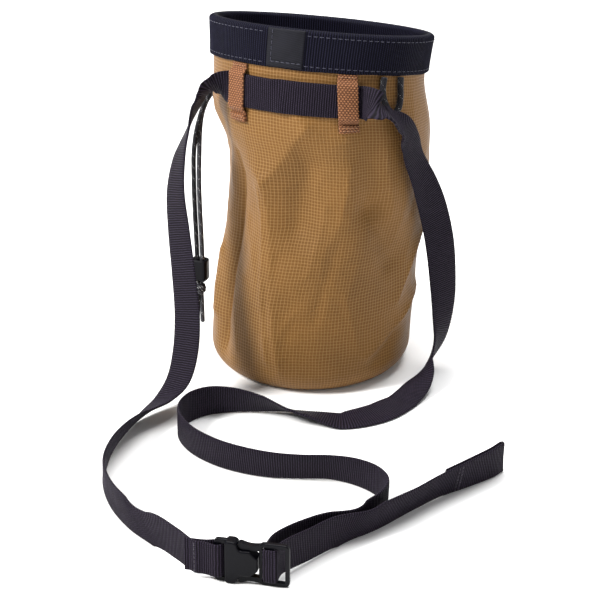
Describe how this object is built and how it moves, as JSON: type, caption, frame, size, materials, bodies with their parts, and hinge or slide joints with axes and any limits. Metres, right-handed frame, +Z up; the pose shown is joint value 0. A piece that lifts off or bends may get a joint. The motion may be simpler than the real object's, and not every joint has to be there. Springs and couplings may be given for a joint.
{
  "type": "climbing chalk bag",
  "caption": "Soft round chalk bag with a webbing rim, a waist belt held by loops and closed by a side-release buckle, a brush loop and a drawcord with a lock.",
  "frame": {"origin": "centre of the round base, on the floor", "axes": "+Z up through the mouth, -Y towards the side with the belt and the patch, +X to that side's right"},
  "size_m": [0.186, 0.2844, 0.1816],
  "materials": {
    "cloth": "coated ripstop, satin",
    "base_cloth": "coated cloth",
    "rim_webbing": "ribbed webbing",
    "patch_cloth": "smooth cloth label, blank",
    "loop_webbing": "coarse webbing",
    "belt_webbing": "ribbed webbing",
    "moulded": "satin moulding",
    "cord_braid": "braided cord"
  },
  "bodies": {
    "root": {"shell": "cloth", "base_panel": "base_cloth", "rim_band": "rim_webbing", "rim_patch": "patch_cloth", "belt_loop_left": "loop_webbing", "belt_loop_right": "loop_webbing", "belt_left": "belt_webbing", "belt_front": "belt_webbing", "belt_right": "belt_webbing", "belt_laid": "belt_webbing", "belt_tail": "belt_webbing", "buckle_female": "moulded", "buckle_male": "moulded", "brush_loop": "cord_braid", "cord_eyelet": "moulded", "drawcord_front": "cord_braid", "drawcord_back": "cord_braid", "cord_lock": "moulded", "drawcord_knot": "cord_braid"}
  },
  "joints": []
}
